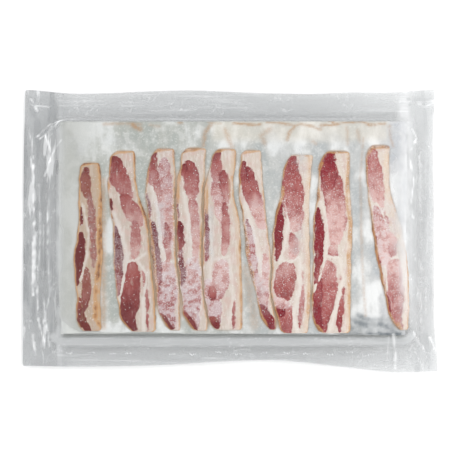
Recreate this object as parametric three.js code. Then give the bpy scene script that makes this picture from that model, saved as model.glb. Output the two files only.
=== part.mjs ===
// A flat pack of streaky bacon. Nine rashers lie side by side on the top parchment sheet of a
// stack, and two clear films are drawn tight over them and sealed together in a wide flange.
// Millimetres, +Z up. The origin is on the ground under the middle of the pack, +X runs along
// its length and +Y away from the side that faces the viewer.
import * as THREE from "three";

const { clamp, lerp, smoothstep } = THREE.MathUtils;

// The sealed bag
const packLength = 504;
const packWidth = 343;
const packCentreX = -5.9;
const stackHeight = 36;
const filmCornerRadius = 2.5;
const flangeThickness = 1.6;
const flangeRimHeight = 4.4;
const flangeRootHeight = 8.5;
const flangeWave = 1.3;

// The stack of sheets inside it, as seen through the film
const stackLength = 431;
const stackWidth = 270.5;
const stackCentreX = -1.3;
const stackCentreY = -5.6;
const stackCornerRadius = 7;

// The pocket: where the film's wall meets the flange, and how far that is from the stack
const pocketCornerRadius = 27;
const pocketGap = { left: 16, right: 13, far: 10, near: 9 };

// How far each film edge wanders out from straight, read at even steps along it
const farWander = [2.7, -1.6, -1.4, 1.4, 2.3, 0.8, -1.4, -2.2, -0.2, -0.6, 3.3];
const nearWander = [0.2, 1, 1, -0.4, -2.8, -5.8, -7.4, -3.2, 2.6, 7.8, 7];
const leftWander = [0.5, 0.5, 0.5, 0.5, 0.5, 0, -1.2];
const rightWander = [3.3, -1, -1.2, -1.2, -1.2, -1.8, 1.2];

// The top parchment sheet
const sheetThickness = 0.6;
const sheetFarEdge = 128.5;
const sheetNearEdge = [-135.5, -136, -137, -138, -138.5, -139.5];
const sheetLeftEdge = [-213, -214.5, -214, -215, -213.5];
const sheetRightEdge = [209, 211, 210.5, 212, 211.5];
const cutCornerLength = 22;
const cutCornerDepth = 17;
const crumpleHeight = 2.2;

// The rashers. Each edge is read at six stations, 43.5 mm apart, from the far end to the near end:
// left is where the left edge lies, width how wide the rasher is there, far and near its two ends.
// Its left corners are cut: shoulder is how far across and along at the far end, tip at the near
// one. swell is its height above the others.
const stationFar = 85;
const stationStep = 43.5;
const rasherThickness = 3;
const rasherEdgeThickness = 1.3;
const cornerRound = 3;
const cutCurve = 1.4;
const tuckedBy = 1.2;
const edgeRipple = { broad: 0.5, fine: 0.3 };
const crownWave = { broad: 0.22, fine: 0.12 };
const endTaper = 5;
const endCrown = 0.45;
const rashers = [
  {
    left: [-188, -190.5, -190.5, -196.5, -193, -193],
    width: [23.5, 29, 29.5, 36, 30, 31.5],
    far: 76,
    near: -135,
    shoulder: [5, 5],
    tip: [8, 15],
    swell: 0.2,
  },
  {
    left: [-151.5, -155, -149, -147.5, -143.5, -138.5],
    width: [30.5, 37, 45.5, 48, 47, 43.5],
    far: 91,
    near: -136,
    shoulder: [9, 8],
    tip: [14.5, 19],
    swell: 0,
  },
  {
    left: [-102.5, -109, -104, -100.5, -95.5, -90],
    width: [30, 38, 33.5, 30.5, 29, 25],
    far: 93.5,
    near: -134,
    shoulder: [9, 10],
    tip: [12.5, 20],
    swell: 0.1,
  },
  {
    left: [-65, -71, -71, -69.5, -65, -60.5],
    width: [30.5, 34.5, 33.5, 31, 28, 29.5],
    far: 94.5,
    near: -134.5,
    shoulder: [9, 9],
    tip: [11.5, 20],
    swell: 0.3,
  },
  {
    left: [-26.5, -37, -37.5, -38.5, -36.5, -30],
    width: [29.5, 36.5, 45, 47.5, 47, 40.5],
    far: 93.5,
    near: -133.5,
    shoulder: [8, 8],
    tip: [8, 12],
    swell: 0.1,
  },
  {
    left: [8, 5, 11.5, 15.5, 27, 33.5],
    width: [25.5, 31.5, 29, 29.5, 19, 19],
    far: 91.5,
    near: -133.5,
    shoulder: [7, 6],
    tip: [11, 16],
    swell: -0.1,
  },
  {
    left: [60, 57.5, 48, 46.5, 45.5, 55],
    width: [36.5, 35.5, 44, 46.5, 48, 36],
    far: 86,
    near: -137.5,
    shoulder: [11, 20],
    tip: [5, 6],
    swell: 0.2,
  },
  {
    left: [103, 102, 96.5, 96.5, 95, 95],
    width: [39, 40, 48.5, 47, 48, 47],
    far: 90.5,
    near: -137.5,
    shoulder: [10, 21],
    tip: [10, 22],
    swell: 0.1,
  },
  {
    left: [160.5, 163, 168, 174, 183.5, 191.5],
    width: [30, 28.5, 36, 38, 31, 22],
    far: 98,
    near: -133.5,
    shoulder: [8, 16],
    tip: [10.5, 16],
    swell: 0,
  },
];

// What touches in the pack keeps this gap in the model
const gap = 0.3;

// How finely the shapes are divided
const longSteps = 30;
const shortSteps = 20;
const cornerSteps = 5;
const rasherRows = 24;
const rasherColumns = [0, 0.06, 0.16, 0.3, 0.5, 0.74, 0.93, 1];
const sheetRows = 18;
const sheetColumns = 32;

// A smooth value at t, from 0 to 1, along a few evenly spaced ones.
function along(values, t) {
  const curve = new THREE.SplineCurve(values.map((value, i) => new THREE.Vector2(i, value)));
  return curve.getPoint(clamp(t, 0, 1)).y;
}

// A mesh from shared points and the triangles between them.
function meshOf(name, points, triangles, look) {
  const geometry = new THREE.BufferGeometry().setFromPoints(points);
  geometry.setIndex(triangles);
  geometry.computeVertexNormals();
  const mesh = new THREE.Mesh(geometry, new THREE.MeshStandardMaterial(look));
  mesh.name = name;
  return mesh;
}

// The points of one closed loop round the pack, counter-clockwise from above: a rectangle with
// round corners, whose sides can wander out from straight. Its corners move with the sides' ends.
function loopRound({ left, right, near, far, radius }, wander = {}) {
  const points = [];
  const out = (side, t) => (wander[side] ? along(wander[side], t) : 0);
  const corner = (x, y, from) => {
    for (let i = 1; i < cornerSteps; i++) {
      const angle = from + (i / cornerSteps) * (Math.PI / 2);
      points.push(new THREE.Vector2(x + radius * Math.cos(angle), y + radius * Math.sin(angle)));
    }
  };
  const westNear = left + radius - out("left", 0);
  const eastNear = right - radius + out("right", 0);
  const eastFar = right - radius + out("right", 1);
  const westFar = left + radius - out("left", 1);
  const southWest = near + radius - out("near", 0);
  const southEast = near + radius - out("near", 1);
  const northEast = far - radius + out("far", 1);
  const northWest = far - radius + out("far", 0);
  for (let i = 0; i <= longSteps; i++) {
    const t = i / longSteps;
    points.push(new THREE.Vector2(lerp(westNear, eastNear, t), near - out("near", t)));
  }
  corner(eastNear, southEast, -Math.PI / 2);
  for (let i = 0; i <= shortSteps; i++) {
    const t = i / shortSteps;
    points.push(new THREE.Vector2(right + out("right", t), lerp(southEast, northEast, t)));
  }
  corner(eastFar, northEast, 0);
  for (let i = 0; i <= longSteps; i++) {
    const t = 1 - i / longSteps;
    points.push(new THREE.Vector2(lerp(westFar, eastFar, t), far + out("far", t)));
  }
  corner(westFar, northWest, Math.PI / 2);
  for (let i = 0; i <= shortSteps; i++) {
    const t = 1 - i / shortSteps;
    points.push(new THREE.Vector2(left - out("left", t), lerp(southWest, northWest, t)));
  }
  corner(westNear, southWest, Math.PI);
  return points;
}

const stackBox = {
  left: stackCentreX - stackLength / 2,
  right: stackCentreX + stackLength / 2,
  near: stackCentreY - stackWidth / 2,
  far: stackCentreY + stackWidth / 2,
};
const stackLoop = loopRound({ ...stackBox, radius: stackCornerRadius });
const pocketLoop = loopRound({
  left: stackBox.left - pocketGap.left,
  right: stackBox.right + pocketGap.right,
  near: stackBox.near - pocketGap.near,
  far: stackBox.far + pocketGap.far,
  radius: pocketCornerRadius,
});
const rimLoop = loopRound(
  {
    left: packCentreX - packLength / 2,
    right: packCentreX + packLength / 2,
    near: -packWidth / 2,
    far: packWidth / 2,
    radius: filmCornerRadius,
  },
  { far: farWander, near: nearWander, left: leftWander, right: rightWander },
);

// The slow up and down of the flange, which hangs free of the ground.
function waveAt(x, y) {
  const lengthwise = Math.sin(0.058 * x + 0.021 * y + 0.6);
  const crosswise = Math.sin(0.052 * y - 0.013 * x + 2.1);
  return flangeWave * (lengthwise + 0.8 * crosswise) * 0.6;
}

// The bag is lofted over rings that run from the middle of the top, down the wall, out along
// the flange, round its rim and back under the pocket. on says which two loops a ring lies
// between and how far across, height its level, wave how much of the flange's wave it takes.
function bag() {
  const ringsOut = [
    { on: [stackLoop, pocketLoop, -0.9], height: stackHeight, wave: 0 },
    { on: [stackLoop, pocketLoop, -0.12], height: stackHeight - 0.1, wave: 0 },
    { on: [stackLoop, pocketLoop, 0.05], height: stackHeight - 2.2, wave: 0 },
    { on: [stackLoop, pocketLoop, 0.2], height: 27, wave: 0 },
    { on: [stackLoop, pocketLoop, 0.42], height: 18.5, wave: 0 },
    { on: [stackLoop, pocketLoop, 0.68], height: 12, wave: 0.1 },
    { on: [stackLoop, pocketLoop, 1], height: flangeRootHeight, wave: 0.3 },
    { on: [pocketLoop, rimLoop, 0.28], height: 6.6, wave: 0.7 },
    { on: [pocketLoop, rimLoop, 0.6], height: 5.6, wave: 1 },
    { on: [pocketLoop, rimLoop, 0.85], height: 5, wave: 1 },
    { on: [pocketLoop, rimLoop, 1], height: flangeRimHeight, wave: 1 },
  ];
  const ringsBack = [
    { on: [pocketLoop, rimLoop, 1], height: flangeRimHeight - flangeThickness, wave: 1 },
    { on: [pocketLoop, rimLoop, 0.45], height: 6 - flangeThickness, wave: 0.9 },
    { on: [stackLoop, pocketLoop, 0.85], height: 6, wave: 0.2 },
    { on: [stackLoop, pocketLoop, 0.35], height: 1.6, wave: 0 },
    { on: [stackLoop, pocketLoop, -0.1], height: 0, wave: 0 },
  ];
  const rings = [...ringsOut, ...ringsBack];
  const count = stackLoop.length;
  const points = [];
  for (const { on, height, wave } of rings) {
    const [from, to, across] = on;
    for (let k = 0; k < count; k++) {
      const place = from[k].clone().lerp(to[k], across);
      const level = height + wave * waveAt(place.x, place.y);
      points.push(new THREE.Vector3(place.x, place.y, level));
    }
  }
  const triangles = [];
  for (let ring = 0; ring + 1 < rings.length; ring++) {
    for (let k = 0; k < count; k++) {
      const a = ring * count + k;
      const b = ring * count + ((k + 1) % count);
      triangles.push(a, a + count, b + count, a, b + count, b);
    }
  }
  const top = points.push(new THREE.Vector3(stackCentreX, stackCentreY, stackHeight)) - 1;
  const underside = points.push(new THREE.Vector3(stackCentreX, stackCentreY, 0)) - 1;
  const lastRing = (rings.length - 1) * count;
  for (let k = 0; k < count; k++) {
    const next = (k + 1) % count;
    triangles.push(top, k, next);
    triangles.push(underside, lastRing + next, lastRing + k);
  }
  return meshOf("bag", points, triangles, {
    color: 0xd4d6d6,
    roughness: 0.2,
    metalness: 0,
    transparent: true,
    opacity: 0.5,
  });
}

// A plate whose top is a grid of points, rows running away from the viewer's left to right and
// from the near edge to the far one, and whose underside lies level at the given height.
function plate(name, grid, undersideHeight, look) {
  const rows = grid.length;
  const columns = grid[0].length;
  const points = grid.flat();
  const triangles = [];
  for (let r = 0; r + 1 < rows; r++) {
    for (let c = 0; c + 1 < columns; c++) {
      const a = r * columns + c;
      triangles.push(a, a + 1, a + columns + 1, a, a + columns + 1, a + columns);
    }
  }
  const border = [];
  for (let c = 0; c + 1 < columns; c++) border.push(c);
  for (let r = 0; r + 1 < rows; r++) border.push(r * columns + columns - 1);
  for (let c = columns - 1; c > 0; c--) border.push((rows - 1) * columns + c);
  for (let r = rows - 1; r > 0; r--) border.push(r * columns);
  const foot = border.map((i) => {
    const { x, y } = points[i];
    return points.push(new THREE.Vector3(x, y, undersideHeight)) - 1;
  });
  for (let k = 0; k < border.length; k++) {
    const next = (k + 1) % border.length;
    triangles.push(border[k], foot[k], foot[next], border[k], foot[next], border[next]);
  }
  const outline = foot.map((i) => new THREE.Vector2(points[i].x, points[i].y));
  for (const [a, b, c] of THREE.ShapeUtils.triangulateShape(outline, [])) {
    triangles.push(foot[a], foot[c], foot[b]);
  }
  return meshOf(name, points, triangles, look);
}

// The top sheet, with its near left corner folded away and its near right corner crumpled up.
const sheetUnderside = stackHeight + gap;
const sheetTop = sheetUnderside + sheetThickness;

function sheetCrumple(x, y) {
  const onLength = smoothstep(x, 150, 166) * (1 - smoothstep(x, 172, 184));
  const onCorner = onLength * (1 - smoothstep(y, -128, -110));
  const folds = Math.abs(Math.sin(0.11 * (x + 1.6 * y)));
  return crumpleHeight * onCorner * folds;
}

function linerSheet() {
  const grid = [];
  for (let r = 0; r <= sheetRows; r++) {
    const acrossDepth = r / sheetRows;
    const row = [];
    for (let c = 0; c <= sheetColumns; c++) {
      const acrossLength = c / sheetColumns;
      const left = along(sheetLeftEdge, acrossDepth);
      const right = along(sheetRightEdge, acrossDepth);
      const x = lerp(left, right, acrossLength);
      const cut = cutCornerDepth * (1 - smoothstep(x, left, left + cutCornerLength));
      const near = along(sheetNearEdge, acrossLength) + cut;
      const y = lerp(near, sheetFarEdge, acrossDepth);
      row.push(new THREE.Vector3(x, y, sheetTop + sheetCrumple(x, y)));
    }
    grid.push(row);
  }
  return plate("liner_sheet", grid, sheetUnderside, {
    color: 0xc9c9c3,
    roughness: 0.6,
    metalness: 0,
  });
}

// How far along the six stations a place lies, from 0 at the first to 1 at the last.
function stationAt(y) {
  return (stationFar - y) / (stationStep * 5);
}

// A rasher: soft edges, a flat crown and the shallow waves of a slice pressed under film. Its
// right edge stops short of the next rasher, as where two meet one is tucked against the other.
function rasher(number) {
  const { left, width, far, near, shoulder, tip, swell } = rashers[number];
  const next = rashers[number + 1];
  const underside = sheetTop + gap;
  const grid = [];
  for (let r = 0; r <= rasherRows; r++) {
    const row = [];
    for (const across of rasherColumns) {
      const atShoulder = Math.max(0, 1 - (across * width[0]) / shoulder[0]);
      const atTip = Math.max(0, 1 - (across * width[5]) / tip[0]);
      const atRight = Math.max(0, 1 - ((1 - across) * width[0]) / cornerRound);
      const farHere = far - shoulder[1] * atShoulder ** cutCurve - cornerRound * atRight ** 2;
      const nearHere = near + tip[1] * atTip ** cutCurve + cornerRound * atRight ** 2;
      const y = lerp(nearHere, farHere, r / rasherRows);
      const place = stationAt(y);
      const broadRipple = edgeRipple.broad * Math.sin(0.19 * y + 2.3 * number);
      const ripple = broadRipple + edgeRipple.fine * Math.sin(0.43 * y + number);
      const edgeLeft = along(left, place) + ripple;
      const edgeRight = along(left, place) + along(width, place) - 0.6 * ripple;
      const stop = next ? along(next.left, place) - tuckedBy : Infinity;
      const x = lerp(edgeLeft, Math.min(edgeRight, stop), across);
      const crown = 1 - Math.abs(2 * across - 1) ** 5;
      const atNear = smoothstep(y, near, near + endTaper);
      const atEnds = atNear * (1 - smoothstep(y, far - endTaper, far));
      const broadWave = crownWave.broad * Math.sin(0.085 * y + 1.7 * number);
      const wave = broadWave + crownWave.fine * Math.sin(9 * across + 0.05 * y);
      const swollen = rasherThickness - rasherEdgeThickness + swell + wave;
      const raise = swollen * crown * lerp(endCrown, 1, atEnds);
      row.push(new THREE.Vector3(x, y, underside + rasherEdgeThickness + raise));
    }
    grid.push(row);
  }
  return plate("bacon_strip_" + (number + 1), grid, underside, {
    color: 0xc48f88,
    roughness: 0.45,
    metalness: 0,
  });
}

const pack = new THREE.Group();
pack.name = "bacon_pack";
pack.add(bag());
pack.add(linerSheet());
rashers.forEach((_, number) => pack.add(rasher(number)));

// The pack stands on the ground with the middle of its outline over the origin.
const extent = new THREE.Box3().setFromObject(pack, true);
const middle = extent.getCenter(new THREE.Vector3());
pack.position.set(-middle.x, -middle.y, -extent.min.z);

export default pack;
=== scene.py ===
"""A flat sealed pack of streaky bacon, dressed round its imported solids.

Layers of rashers lie between parchment sheets, nine rashers lie side by side on the top sheet, and
clear film is drawn tight over them and sealed in a wide flange. Lengths are in millimetres, which
the mesh builder turns into metres. +X runs along the pack, +Y away from the viewer, +Z up.
"""

import math

import bpy
import numpy as np
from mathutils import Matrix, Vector
from mathutils.bvhtree import BVHTree


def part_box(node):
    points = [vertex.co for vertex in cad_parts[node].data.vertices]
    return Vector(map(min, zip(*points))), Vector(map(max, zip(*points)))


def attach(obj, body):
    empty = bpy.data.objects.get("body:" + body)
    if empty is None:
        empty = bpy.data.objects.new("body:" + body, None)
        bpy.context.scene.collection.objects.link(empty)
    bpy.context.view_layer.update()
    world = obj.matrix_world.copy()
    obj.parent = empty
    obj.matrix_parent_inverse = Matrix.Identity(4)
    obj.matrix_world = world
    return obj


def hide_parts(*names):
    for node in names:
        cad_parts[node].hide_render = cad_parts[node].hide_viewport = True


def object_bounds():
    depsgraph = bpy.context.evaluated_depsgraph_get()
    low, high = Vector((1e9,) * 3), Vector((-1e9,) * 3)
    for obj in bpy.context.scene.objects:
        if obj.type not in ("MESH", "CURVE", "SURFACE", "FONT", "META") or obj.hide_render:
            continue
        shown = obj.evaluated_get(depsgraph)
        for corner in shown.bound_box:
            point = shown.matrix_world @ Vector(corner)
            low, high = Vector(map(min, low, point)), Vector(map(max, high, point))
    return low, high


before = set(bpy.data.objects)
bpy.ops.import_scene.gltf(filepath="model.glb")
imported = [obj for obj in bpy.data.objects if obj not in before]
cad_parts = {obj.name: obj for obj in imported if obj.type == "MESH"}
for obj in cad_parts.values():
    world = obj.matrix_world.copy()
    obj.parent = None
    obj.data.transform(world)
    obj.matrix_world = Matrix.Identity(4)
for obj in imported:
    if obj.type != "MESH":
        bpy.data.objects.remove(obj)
cad_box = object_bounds()

# The skin that presses everything together
# In a vacuum pack one skin of film lies over all the food. Its level comes first, read from the
# solids with their corners eased, and every piece under it stays a hair below it.
MM = 0.001
MAP_CELL = 1.0
# An odd margin keeps most rays off the edges between two faces.
MAP_MARGIN = 4.13
RAY_ABOVE = 90.0
RAY_BELOW = -10.0
SKIN_EASE = 2.6
SKIN_DROP = 0.12
GRAIN_CELLS = 64

rasher_nodes = [f"bacon_strip_{number}" for number in range(1, 10)]
pack_low, pack_high = (np.array(corner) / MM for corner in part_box("bag"))
map_x = np.arange(pack_low[0] - MAP_MARGIN, pack_high[0] + MAP_MARGIN, MAP_CELL)
map_y = np.arange(pack_low[1] - MAP_MARGIN, pack_high[1] + MAP_MARGIN, MAP_CELL)


def corners(node):
    """A solid's triangles, as an array of corner points."""
    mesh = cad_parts[node].data
    mesh.calc_loop_triangles()
    points = np.array([vertex.co for vertex in mesh.vertices]) / MM
    return points[[tuple(triangle.vertices) for triangle in mesh.loop_triangles]]


def level_map(nodes, downwards=True):
    """The first surface met over each cell of the ground, coming down or up. Nan where none is."""
    triangles = np.concatenate([corners(node) for node in nodes])
    faces = np.arange(len(triangles) * 3).reshape(-1, 3)
    tree = BVHTree.FromPolygons(triangles.reshape(-1, 3).tolist(), faces.tolist())
    start, way = (RAY_ABOVE, -1.0) if downwards else (RAY_BELOW, 1.0)
    direction = Vector((0, 0, way))
    levels = np.full((len(map_y), len(map_x)), np.nan)
    for row, y in enumerate(map_y):
        for column, x in enumerate(map_x):
            hit = tree.ray_cast(Vector((x, y, start)), direction)[0]
            if hit is not None:
                levels[row, column] = hit.z
    return levels


def mended(levels):
    """A level map with the few cells put right where a ray slipped through between two faces."""
    around = np.pad(levels, 1, constant_values=np.nan)
    rows, columns = levels.shape
    near = [around[j:j + rows, i:i + columns] for j in range(3) for i in range(3)]
    known = np.isfinite(levels)
    levels[known] = np.nanmedian(np.stack(near)[:, known], axis=0)
    return levels


def eased(levels, reach):
    """A level map blurred over a reach in cells. An empty cell takes the level of what is near."""
    steps = np.arange(-math.ceil(3 * reach), math.ceil(3 * reach) + 1)
    weights = np.exp(-0.5 * (steps / reach) ** 2)
    known = np.isfinite(levels)
    total = np.where(known, levels, 0.0)
    share = known.astype(float)
    for axis in (0, 1):
        total = np.apply_along_axis(np.convolve, axis, total, weights, "same")
        share = np.apply_along_axis(np.convolve, axis, share, weights, "same")
    return total / np.maximum(share, 1e-9)


def read_map(levels, x, y):
    """The level of a map at any places, between its cells."""
    across = np.clip((x - map_x[0]) / MAP_CELL, 0, len(map_x) - 1.001)
    away = np.clip((y - map_y[0]) / MAP_CELL, 0, len(map_y) - 1.001)
    i, j = across.astype(int), away.astype(int)
    u, v = across - i, away - j
    near = levels[j, i] * (1 - u) + levels[j, i + 1] * u
    far = levels[j + 1, i] * (1 - u) + levels[j + 1, i + 1] * u
    return near * (1 - v) + far * v


def grain(x, y, size, seed):
    """Smooth random values from -1 to 1 that change over a given size, the same on each run."""
    draws = np.random.default_rng(seed).uniform(-1, 1, (GRAIN_CELLS, GRAIN_CELLS))
    u, v = x / size + 17.3, y / size + 41.7
    i, j = np.floor(u).astype(int), np.floor(v).astype(int)
    a, b = u - i, v - j
    a, b = a * a * (3 - 2 * a), b * b * (3 - 2 * b)
    i, j, right, above = (part % GRAIN_CELLS for part in (i, j, i + 1, j + 1))
    near = draws[j, i] * (1 - a) + draws[j, right] * a
    far = draws[above, i] * (1 - a) + draws[above, right] * a
    return near * (1 - b) + far * b


def step(low, high, value):
    """From 0 at low to 1 at high, eased at both ends."""
    t = np.clip((value - low) / (high - low), 0, 1)
    return t * t * (3 - 2 * t)


skin = eased(mended(level_map(["bag", "liner_sheet", *rasher_nodes])), SKIN_EASE) - SKIN_DROP
belly = eased(mended(level_map(["bag"], downwards=False)), SKIN_EASE)

# The layers under the top sheet
# Twelve more layers of rashers, each on a sheet of greaseproof parchment. Only their edges show,
# through the clear wall: pale paper lines with the fat and lean ends of rashers between them.
LAYERS = 12
LAYER_INSET = 3.0
LAYER_WANDER = 1.2
LAYER_START = 0.9
PAPER_IN_LAYER = 0.62
MEAT_IN_LAYER = 0.3
MEAT_DEPTH = 0.6
PAPER_THICKNESS = 0.35
PAPER_STEP = 6.0
RASHERS_ACROSS = 9
RASHER_LENGTH = 246.0
RASHER_WIDTH = 36.0
RASHER_WANDER_X = 1.5
RASHER_WANDER_Y = 2.5
CRISP_ANGLE = 55
LONG_BLOCK = 50
LUMPS_PER_METRE = 28.0


def mesh_piece(name, points, faces, smooth=True):
    """A new object at the origin, its points given in millimetres. Steep edges stay crisp."""
    mesh = bpy.data.meshes.new(name)
    mesh.from_pydata((np.asarray(points) * MM).tolist(), [], faces)
    mesh.polygons.foreach_set("use_smooth", [smooth] * len(mesh.polygons))
    mesh.update()
    mesh.set_sharp_from_angle(angle=math.radians(CRISP_ANGLE))
    piece = bpy.data.objects.new(name, mesh)
    bpy.context.scene.collection.objects.link(piece)
    return piece


def squares(grid):
    """The faces of a grid of point numbers, facing up when rows run away and columns right."""
    corner_loops = [grid[:-1, :-1], grid[:-1, 1:], grid[1:, 1:], grid[1:, :-1]]
    return np.stack([part.ravel() for part in corner_loops], axis=1)


def plate(x, y, top, underside):
    """Points and faces of a closed plate over a grid whose rows run from near to far."""
    grid = np.arange(x.size).reshape(x.shape)
    foot = grid + x.size
    points = [np.stack([x.ravel(), y.ravel(), level.ravel()], axis=1) for level in (top, underside)]
    faces = [squares(grid), squares(foot)[:, ::-1]]
    for upper, lower in ((grid[0], foot[0]), (grid[-1, ::-1], foot[-1, ::-1]),
                         (grid[::-1, 0], foot[::-1, 0]), (grid[:, -1], foot[:, -1])):
        faces.append(np.stack([lower[:-1], lower[1:], upper[1:], upper[:-1]], axis=1))
    return np.concatenate(points), np.concatenate(faces).tolist()


def add_node(tree, kind, inputs, output=0, **settings):
    """Makes a node, sets its options, sets or joins its inputs and gives one of its outputs."""
    node = tree.nodes.new(kind)
    for key, value in settings.items():
        setattr(node, key, value)
    for key, value in inputs.items():
        if isinstance(value, bpy.types.NodeSocket):
            tree.links.new(value, node.inputs[key])
        else:
            node.inputs[key].default_value = value
    return node.outputs[output]


class Recipe:
    """A node material under way, with the few steps that the materials here share."""

    def __init__(self, name):
        self.material = bpy.data.materials.new(name)
        self.material.use_nodes = True
        self.tree = self.material.node_tree
        self.tree.nodes.clear()

    def add(self, kind, inputs, output=0, **settings):
        return add_node(self.tree, "ShaderNode" + kind, inputs, output, **settings)

    def times(self, a, b):
        return self.add("Math", {0: a, 1: b}, operation="MULTIPLY", use_clamp=True)

    def plus(self, a, b):
        return self.add("Math", {0: a, 1: b}, operation="ADD", use_clamp=True)

    def mix(self, share, a, b):
        return self.add("Mix", {0: share, 6: a, 7: b}, output=2, data_type="RGBA")

    def noise(self, size, detail=3.0, stretch=(1, 1, 1)):
        """Clouds whose spots are about the given size in millimetres."""
        place = self.add("TexCoord", {}, output=3)
        moved = self.add("Mapping", {"Vector": place, "Scale": stretch})
        return self.add("TexNoise", {"Vector": moved, "Scale": 1 / (size * MM), "Detail": detail})

    def ramp(self, value, low, high, start=0.0, end=1.0):
        inputs = {0: value, 1: low, 2: high, 3: start, 4: end}
        return self.add("MapRange", inputs, interpolation_type="SMOOTHSTEP")

    def layer(self, name):
        colour = self.add("Attribute", {}, attribute_name=name)
        return [self.add("SeparateColor", {0: colour}, output=part) for part in range(3)]

    def bump(self, height, depth, normal=None):
        inputs = {"Height": height, "Distance": depth * MM}
        if normal is not None:
            inputs["Normal"] = normal
        return self.add("Bump", inputs)

    def finish(self, shader):
        end = self.tree.nodes.new("ShaderNodeOutputMaterial")
        self.tree.links.new(shader, end.inputs[0])
        return self.material

    def coated(self, tone, roughness, normal, more=None):
        """The finished material of a piece that isn't clear."""
        inputs = {"Base Color": tone, "Roughness": roughness, "Normal": normal, **(more or {})}
        return self.finish(self.add("BsdfPrincipled", inputs))


def shade(*rgb):
    """A colour picked as 0 to 255 on screen, as the light values that a node takes."""
    parts = [channel / 255 for channel in rgb]
    return (*[c / 12.92 if c <= 0.04045 else ((c + 0.055) / 1.055) ** 2.4 for c in parts], 1.0)


def scattered(name, places, size, material, turn, least, seed, wave=0.0):
    """Copies of a rounded block, one at each place, turned and scaled at random, as one mesh."""
    seeds = mesh_piece(name, places, [])
    tree = bpy.data.node_groups.new(name, "GeometryNodeTree")
    kinds = {"Places": "Geometry", "Size": "Vector", "Turn": "Float", "Least": "Float",
             "Wave": "Float", "Seed": "Int"}
    sockets = {key: tree.interface.new_socket(key, in_out="INPUT", socket_type="NodeSocket" + kind)
               for key, kind in kinds.items()}
    tree.interface.new_socket("Result", in_out="OUTPUT", socket_type="NodeSocketGeometry")
    given = tree.nodes.new("NodeGroupInput").outputs

    def add(kind, inputs, output=0, **settings):
        return add_node(tree, kind, inputs, output, **settings)

    rows_along = 40 if size[1] > LONG_BLOCK else 4
    block = add("GeometryNodeMeshCube", {"Size": given["Size"], "Vertices X": 5,
                                         "Vertices Y": rows_along, "Vertices Z": 3})
    where = add("GeometryNodeInputPosition", {})
    clouds = add("ShaderNodeTexNoise", {"Vector": where, "Scale": LUMPS_PER_METRE, "Detail": 1.0},
                 output=1)
    centred = add("ShaderNodeVectorMath", {0: clouds, 1: (0.5, 0.5, 0.5)}, operation="SUBTRACT")
    level = add("ShaderNodeVectorMath", {0: centred, 1: (1.0, 0.4, 0.15)}, operation="MULTIPLY")
    moved = add("ShaderNodeVectorMath", {0: level, 3: given["Wave"]}, operation="SCALE")
    lump = add("GeometryNodeSetPosition", {"Geometry": block, "Offset": moved})
    angle = add("FunctionNodeRandomValue", {2: 0.0, 3: given["Turn"], "Seed": given["Seed"]}, output=1)
    turned = add("ShaderNodeCombineXYZ", {"Z": angle})
    scale = add("FunctionNodeRandomValue", {2: given["Least"], 3: 1.0, "Seed": given["Seed"]}, output=1)
    copies = add("GeometryNodeInstanceOnPoints", {"Points": given["Places"], "Instance": lump,
                                                  "Rotation": turned, "Scale": scale})
    real = add("GeometryNodeRealizeInstances", {"Geometry": copies})
    coloured = add("GeometryNodeSetMaterial", {"Geometry": real, "Material": material})
    end = tree.nodes.new("NodeGroupOutput")
    tree.links.new(coloured, end.inputs[0])
    modifier = seeds.modifiers.new(name, "NODES")
    modifier.node_group = tree
    values = {"Size": [part * MM for part in size], "Turn": turn, "Least": least, "Wave": wave * MM,
              "Seed": seed}
    for key, value in values.items():
        modifier[sockets[key].identifier] = value
    ready = seeds.evaluated_get(bpy.context.evaluated_depsgraph_get())
    mesh = bpy.data.meshes.new_from_object(ready)
    mesh.name = name
    seeds.modifiers.remove(modifier)
    seeds.data = mesh
    return seeds


sheet_low, sheet_high = (np.array(corner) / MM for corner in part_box("liner_sheet"))
mid_x, mid_y = ((sheet_low + sheet_high) / 2)[:2]
layer_pitch = (sheet_low[2] - LAYER_START) / LAYERS


def layered_sheets():
    """Every lower sheet, each a little askew, as one mesh of closed plates."""
    points, faces, count = [], [], 0
    for layer in range(LAYERS):
        askew = np.random.default_rng(40 + layer).uniform(-1, 1, 4) * LAYER_WANDER
        left = sheet_low[0] + LAYER_INSET + askew[0]
        right = sheet_high[0] - LAYER_INSET + askew[1]
        near = sheet_low[1] + LAYER_INSET + askew[2]
        far = sheet_high[1] - LAYER_INSET + askew[3]
        columns = np.arange(left, right, PAPER_STEP)
        rows = np.arange(near, far, PAPER_STEP)
        u, v = np.meshgrid(columns, rows)
        x = u + 0.5 * grain(u, v, 30, layer)
        y = v + 0.5 * grain(u, v, 24, layer + 60)
        top = LAYER_START + layer_pitch * (layer + PAPER_IN_LAYER) + 0.2 * grain(u, v, 21, layer + 120)
        more, sides = plate(x, y, top, top - PAPER_THICKNESS)
        points.append(more)
        faces += [[i + count for i in face] for face in sides]
        count += len(more)
    return mesh_piece("lower_sheets", np.concatenate(points), faces)


lower_sheets = layered_sheets()
edge_paper = Recipe("parchment_edges")
pulp = edge_paper.noise(5, 4)
edge_tone = edge_paper.mix(pulp, shade(188, 190, 187), shade(212, 214, 211))
lower_sheets.data.materials.append(edge_paper.coated(edge_tone, 0.55, edge_paper.bump(pulp, 0.1)))
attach(lower_sheets, "root")
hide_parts("bag")


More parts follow.
